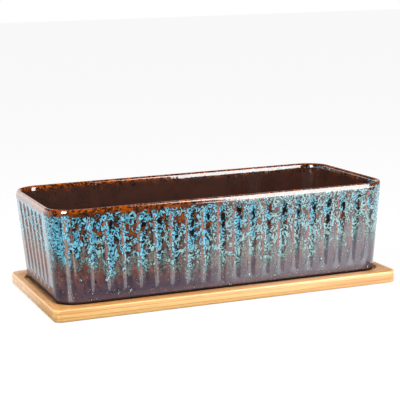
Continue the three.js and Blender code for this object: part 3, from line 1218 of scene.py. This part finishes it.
dust = use_group(tree, specks, Place=wall_place, Scale=560, Share=0.20, Size=0.36)
dust_share = times(tree, dust["Mask"], step(tree, height, 0.060, 0.030, 0.1, 0.55), outer)
colour = mix(tree, dust_share, colour, mix(tree, dust["Shade"], SAND, MINT))
print("glaze nodes with the specks:", len(tree.nodes))

# %% [markdown]
# On the lip the turquoise has pulled away, and the brown breaks to orange in fine patches. Round the foot
# a dark line is painted as shade, the shade in the narrow gap between the foot and the tray's recess. The
# inside is a cloudy brown.

# %% Glaze: the lip, the painted shade at the foot and the inside
LIP_BROWN = paint(44, 18, 4)
LIP_ORANGE = paint(156, 72, 6)
FOOT_SHADE = paint(26, 12, 12)
FOOT_SHADE_ENDS = (0.0055, 0.0030)
LIP_BORDER = (0.0010, 0.0020)
INSIDE_STARTS = (0.080, 0.074)
INSIDE = (paint(34, 20, 17), paint(74, 44, 34))
lip_edge = total(tree, minus(tree, height, lip_start), (body_cloud, 0.003))
lip_patches = step(tree, cloud(tree, wall_place, 460, 3, 0.7), 0.44, 0.60)
lip_rust = mix(tree, lip_patches, LIP_BROWN, LIP_ORANGE)
colour = mix(tree, step(tree, lip_edge, *LIP_BORDER), colour, lip_rust)
# Painted shade: a dark band round the foot, in the gap where it sits in the tray's recess.
foot_shade = times(tree, step(tree, height, *FOOT_SHADE_ENDS), outer)
colour = mix(tree, foot_shade, colour, FOOT_SHADE)
inside_brown = mix(tree, cloud(tree, object_place(tree), 60, 4, 0.6), *INSIDE)
inside_share = times(tree, inner, step(tree, run_height, *INSIDE_STARTS))
colour = mix(tree, inside_share, colour, inside_brown)
feed(tree, shader.inputs["Base Color"], colour)
print("glaze nodes with the lip:", len(tree.nodes))

# %% [markdown]
# The gloss is a clear coat over a matt body, as glass lies over the colours in a real glaze. A
# shallow bump makes the coat a little wavy, and the turquoise stands slightly proud.

# %% Glaze: gloss and relief
shader.inputs["Roughness"].default_value = 0.35
shader.inputs["Specular IOR Level"].default_value = 0
shader.inputs["Coat Weight"].default_value = 1
shader.inputs["Coat IOR"].default_value = 1.65
shader.inputs["Coat Roughness"].default_value = 0.05
waves = total(tree, cloud(tree, wall_place, 90, 2), (turquoise_share, 0.25))
relief = add_relief(tree, shader, 0.4 * MM, 0.2, waves)
feed(tree, shader.inputs["Coat Normal"], relief)
print("glaze nodes in all:", len(tree.nodes))

# %% [markdown]
# ## Bare clay
# The foot ring is wiped clean before firing, or the pot would stick to the kiln shelf, so it shows
# buff clay with dark grains. A soft cloud and the group of specks are enough for that.

# %% Bare clay
BUFF = (paint(176, 150, 122), paint(204, 182, 154))
DARK_GRAIN = paint(92, 66, 48)
clay, tree, shader = new_material("bare_clay")
clay_colour = mix(tree, cloud(tree, object_place(tree), 300, 4), *BUFF)
grains = use_group(tree, specks, Place=object_place(tree), Scale=900, Share=0.12, Size=0.3)
feed(tree, shader.inputs["Base Color"], mix(tree, grains["Mask"], clay_colour, DARK_GRAIN))
shader.inputs["Roughness"].default_value = 0.85
print("clay nodes:", len(tree.nodes))

# %% [markdown]
# ## Bamboo
# The tray is a board of bamboo strips glued side by side, in three layers. Each strip has a number
# from its layer and its place, and that number draws its tone. Streaks and fine fibres run along
# the length, because their noise is stretched that way, and the glue lines show along the edges.
# A thin coat of oil gives the board its soft shine.

# %% Bamboo
STRAW = (paint(226, 172, 98), paint(240, 194, 122))
STREAK_TAN = paint(214, 150, 78)
FIBRE_TAN = paint(190, 126, 62)
GLUE_TAN = paint(186, 122, 58)
LAYER_HEIGHT = 0.0034
STRIP_WIDTH = 0.0205
LAYER_SHIFT = 0.0073
STRIPS_IN_A_LAYER = 17.3
FIBRE_STRETCH = (18, 900, 900)
STREAK_STRETCH = (6, 240, 240)
GLUE_LINE = (0.0004, 0.0001)
bamboo, tree, shader = new_material("laminated_bamboo")
board_place = object_place(tree)
_, across_board, upward = split(tree, "XYZ", board_place)
layer = calculate(tree, "FLOOR", calculate(tree, "DIVIDE", upward, LAYER_HEIGHT))
shifted = total(tree, across_board, (layer, LAYER_SHIFT))
strip = calculate(tree, "FLOOR", calculate(tree, "DIVIDE", shifted, STRIP_WIDTH))
strip_tone = add(tree, "TexWhiteNoise", noise_dimensions="1D")
feed(tree, strip_tone.inputs["W"], total(tree, strip, (layer, STRIPS_IN_A_LAYER)))
fibres = cloud(tree, calculate_vector(tree, "MULTIPLY", board_place, FIBRE_STRETCH), 1, 4, 0.65)
streaks = cloud(tree, calculate_vector(tree, "MULTIPLY", board_place, STREAK_STRETCH), 1, 3, 0.6)
board_colour = mix(tree, strip_tone.outputs["Value"], *STRAW)
board_colour = mix(tree, step(tree, streaks, 0.40, 0.70), board_colour, STREAK_TAN)
fibre_share = times(tree, step(tree, fibres, 0.5, 0.75), 0.5)
board_colour = mix(tree, fibre_share, board_colour, FIBRE_TAN)
below_joint = calculate(tree, "MODULO", upward, LAYER_HEIGHT)
off_joint = calculate(tree, "MINIMUM", below_joint, minus(tree, LAYER_HEIGHT, below_joint))
glue_share = times(tree, step(tree, off_joint, *GLUE_LINE), 0.7)
feed(tree, shader.inputs["Base Color"], mix(tree, glue_share, board_colour, GLUE_TAN))
feed(tree, shader.inputs["Roughness"], step(tree, fibres, 0.3, 0.8, 0.38, 0.55))
shader.inputs["Coat Weight"].default_value = 0.35
shader.inputs["Coat Roughness"].default_value = 0.22
add_relief(tree, shader, 0.2 * MM, 0.25, fibres)
print("bamboo nodes:", len(tree.nodes))

# %% [markdown]
# ## Moulded plastic
# The drain screens are dark plastic from a plain mould: nearly black and matt, with a faint cloud
# in both colour and gloss, so that they don't look drawn.

# %% Moulded plastic
CHARCOAL = (paint(28, 31, 32), paint(44, 48, 49))
plastic, tree, shader = new_material("moulded_plastic")
plastic_cloud = cloud(tree, object_place(tree), 700, 3)
feed(tree, shader.inputs["Base Color"], mix(tree, plastic_cloud, *CHARCOAL))
feed(tree, shader.inputs["Roughness"], step(tree, plastic_cloud, 0.3, 0.7, 0.5, 0.62))
print("plastic nodes:", len(tree.nodes))

# %% [markdown]
# ## Finishes and bodies
# Each piece gets its finishes. The pot carries two: glaze nearly everywhere, and bare clay on the
# faces of the foot ring that the pot stands on.

# %% Put the finishes on
CLAY_TOP = (SEAT_HEIGHT + 0.25) * MM
pot.data.materials.append(glaze)
pot.data.materials.append(clay)
for face in pot.data.polygons:
    face.material_index = 1 if face.center.z < CLAY_TOP else 0
tray.data.materials.append(bamboo)
for screen in screens:
    screen.data.materials.append(plastic)
print("bare clay faces:", sum(face.material_index for face in pot.data.polygons))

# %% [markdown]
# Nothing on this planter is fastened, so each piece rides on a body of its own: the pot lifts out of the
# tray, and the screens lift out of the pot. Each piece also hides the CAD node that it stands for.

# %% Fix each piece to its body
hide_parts("pot")
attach(pot, "pot")
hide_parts("tray")
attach(tray, "tray")
for screen, side_name in zip(screens, ("left", "right")):
    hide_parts("drain_screen_" + side_name)
    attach(screen, "screen_" + side_name)
print("pieces fixed to their bodies:", 2 + len(screens))

# %% [markdown]
# ## The studio
# The planter stands on a plain white table. The camera sees it as a white glow with a little paper
# in it, which keeps a soft shadow. A glossy wall mirrors whatever stands round it, so for reflected
# rays the table is a weak mirror that glows in three places, as white cards would if a photographer
# laid them there: on the right, behind the planter, and far in front on the right. The glow is seen
# by glossy rays alone, so it adds no light to the planter. A glow's four numbers are the places in
# metres where it begins and is full, and its strength at both.

# %% The table
TABLE_SIZE = 16
WHITENESS = 0.92
RIGHT_GLOW = (-0.12, 0.22, 0.15, 1.75)
RIGHT_GLOW_BACK = (-0.24, -0.16, 0.05, 1)
BEHIND_GLOW = (-0.06, 0.05, 0, 1.0)
FRONT_GLOW = (-0.64, -0.78, 0, 11)
FRONT_GLOW_SLANT = 0.364
FRONT_GLOW_LEFT = (-0.05, -0.01)
deselect_all()
bpy.ops.mesh.primitive_plane_add(size=TABLE_SIZE)
table = bpy.context.active_object
table.name = "table"
white, tree, shader = new_material("white_table")
shader.inputs["Base Color"].default_value = (0.05, 0.05, 0.05, 1)
shader.inputs["Roughness"].default_value = 0.2
shader.inputs["IOR"].default_value = 1.3
seen = add(tree, "LightPath").outputs
table_x, table_y, _ = split(tree, "XYZ", object_place(tree))
glow_right = step(tree, table_x, *RIGHT_GLOW)
glow_right = times(tree, glow_right, step(tree, table_y, *RIGHT_GLOW_BACK))
glow_behind = step(tree, table_y, *BEHIND_GLOW)
slanted = total(tree, table_x, (table_y, FRONT_GLOW_SLANT))
glow_front = step(tree, table_y, *FRONT_GLOW)
glow_front = times(tree, glow_front, step(tree, slanted, *FRONT_GLOW_LEFT))
glow = larger(tree, glow_right, glow_behind, glow_front)
print("table nodes for the glow:", len(tree.nodes))

# %% [markdown]
# The table's shader is put together from these parts: white paper for the camera, and for all other
# rays the weak mirror with its glow added.

# %% The table's shader
def add_shader(tree, kind, *parts):
    return feed_all(tree, add(tree, kind), *parts)[0]


paper = add_shader(tree, "BsdfDiffuse", (0.8, 0.8, 0.8, 1))
white_glow = add_shader(tree, "Emission")
plain = add_shader(tree, "MixShader", WHITENESS, paper, white_glow)
mirrored_glow = add_shader(tree, "Emission", (1, 1, 1, 1), times(tree, seen["Is Glossy Ray"], glow))
mirrored = add_shader(tree, "AddShader", shader.outputs[0], mirrored_glow)
surface = add_shader(tree, "MixShader", seen["Is Camera Ray"], mirrored, plain)
output = next(node for node in tree.nodes if node.type == "OUTPUT_MATERIAL")
feed(tree, output.inputs["Surface"], surface)
table.data.materials.append(white)
print("table nodes in all:", len(tree.nodes))

# %% [markdown]
# The surroundings are white for the camera, a plain grey light for the surfaces, and nearly dark in
# reflections, apart from a pale backdrop low behind the planter that is brighter on the left.

# %% The surroundings
FILL_LIGHT = 0.3
DARK_ROOM = 0.04
BACKDROP_BEHIND = (0, 0.7)
BACKDROP_TOP = (0.40, 0.15)
BACKDROP_LEFT = (0.30, 0.10, 0.8, 2.2)
world = bpy.data.worlds.new("studio")
world.use_nodes = True
bpy.context.scene.world = world
tree = world.node_tree
seen = add(tree, "LightPath").outputs
east, north, skyward = split(tree, "XYZ", add(tree, "TexCoord").outputs["Generated"])
backdrop = times(tree, step(tree, north, *BACKDROP_BEHIND), step(tree, skyward, *BACKDROP_TOP))
backdrop = times(tree, backdrop, step(tree, east, *BACKDROP_LEFT))
strength = add(tree, "Mix")
feed(tree, strength.inputs[0], seen["Is Glossy Ray"])
feed(tree, strength.inputs[2], FILL_LIGHT)
feed(tree, strength.inputs[3], calculate(tree, "ADD", backdrop, DARK_ROOM))
background = next(node for node in tree.nodes if node.type == "BACKGROUND")
background.inputs["Color"].default_value = (1, 1, 1, 1)
feed(tree, background.inputs["Strength"], larger(tree, strength.outputs[0], seen["Is Camera Ray"]))
print("world nodes:", len(tree.nodes))

# %% [markdown]
# Four softboxes light the planter: a key at the front right, one at each side and a wide one above. They
# aren't seen in the glaze. Three panels do the reverse: they light nothing and only glint, in the line
# down each flute, the band along the lip and the line down the near corner. Keeping the two apart lets
# each be set on its own. A softbox is placed by its bearing from the front, its rise above the table, in
# degrees, and its distance. Then come its width and height, in metres as the distance is, and its power
# in watts.

# %% Lamps
AIM = Vector((0, 0, 0.05))
LIGHTING = (
    ("key_softbox", 14, 23, 1.0, 0.42, 0.85, 8.5),
    ("side_softbox", 66, 20, 1.0, 0.60, 0.60, 3),
    ("left_softbox", -82, 36, 0.9, 0.8, 0.6, 8),
    ("ceiling_softbox", 0, 80, 1.3, 1.2, 0.9, 9),
)
GLINTS = (
    ("side_panel", 66, 20, 1.0, 0.60, 0.60, 11),
    ("lip_panel", 33, 23, 1.0, 0.45, 0.85, 17),
    ("corner_panel", -50, 22, 1.0, 0.28, 0.5, 16),
)


def softbox(name, bearing, rise, distance, width, height, watts):
    lamp = bpy.data.lights.new(name, "AREA")
    lamp.shape = "RECTANGLE"
    lamp.size = width
    lamp.size_y = height
    lamp.energy = watts
    holder = bpy.data.objects.new(name, lamp)
    around = math.radians(bearing)
    lift = math.radians(rise)
    back = Vector((
        math.sin(around) * math.cos(lift),
        -math.cos(around) * math.cos(lift),
        math.sin(lift),
    ))
    holder.location = AIM + back * distance
    holder.rotation_euler = back.to_track_quat("Z", "Y").to_euler()
    bpy.context.scene.collection.objects.link(holder)
    return holder


for settings in LIGHTING:
    softbox(*settings).visible_glossy = False
for settings in GLINTS:
    softbox(*settings).visible_diffuse = False
print("softboxes that light:", len(LIGHTING), " panels that glint:", len(GLINTS))
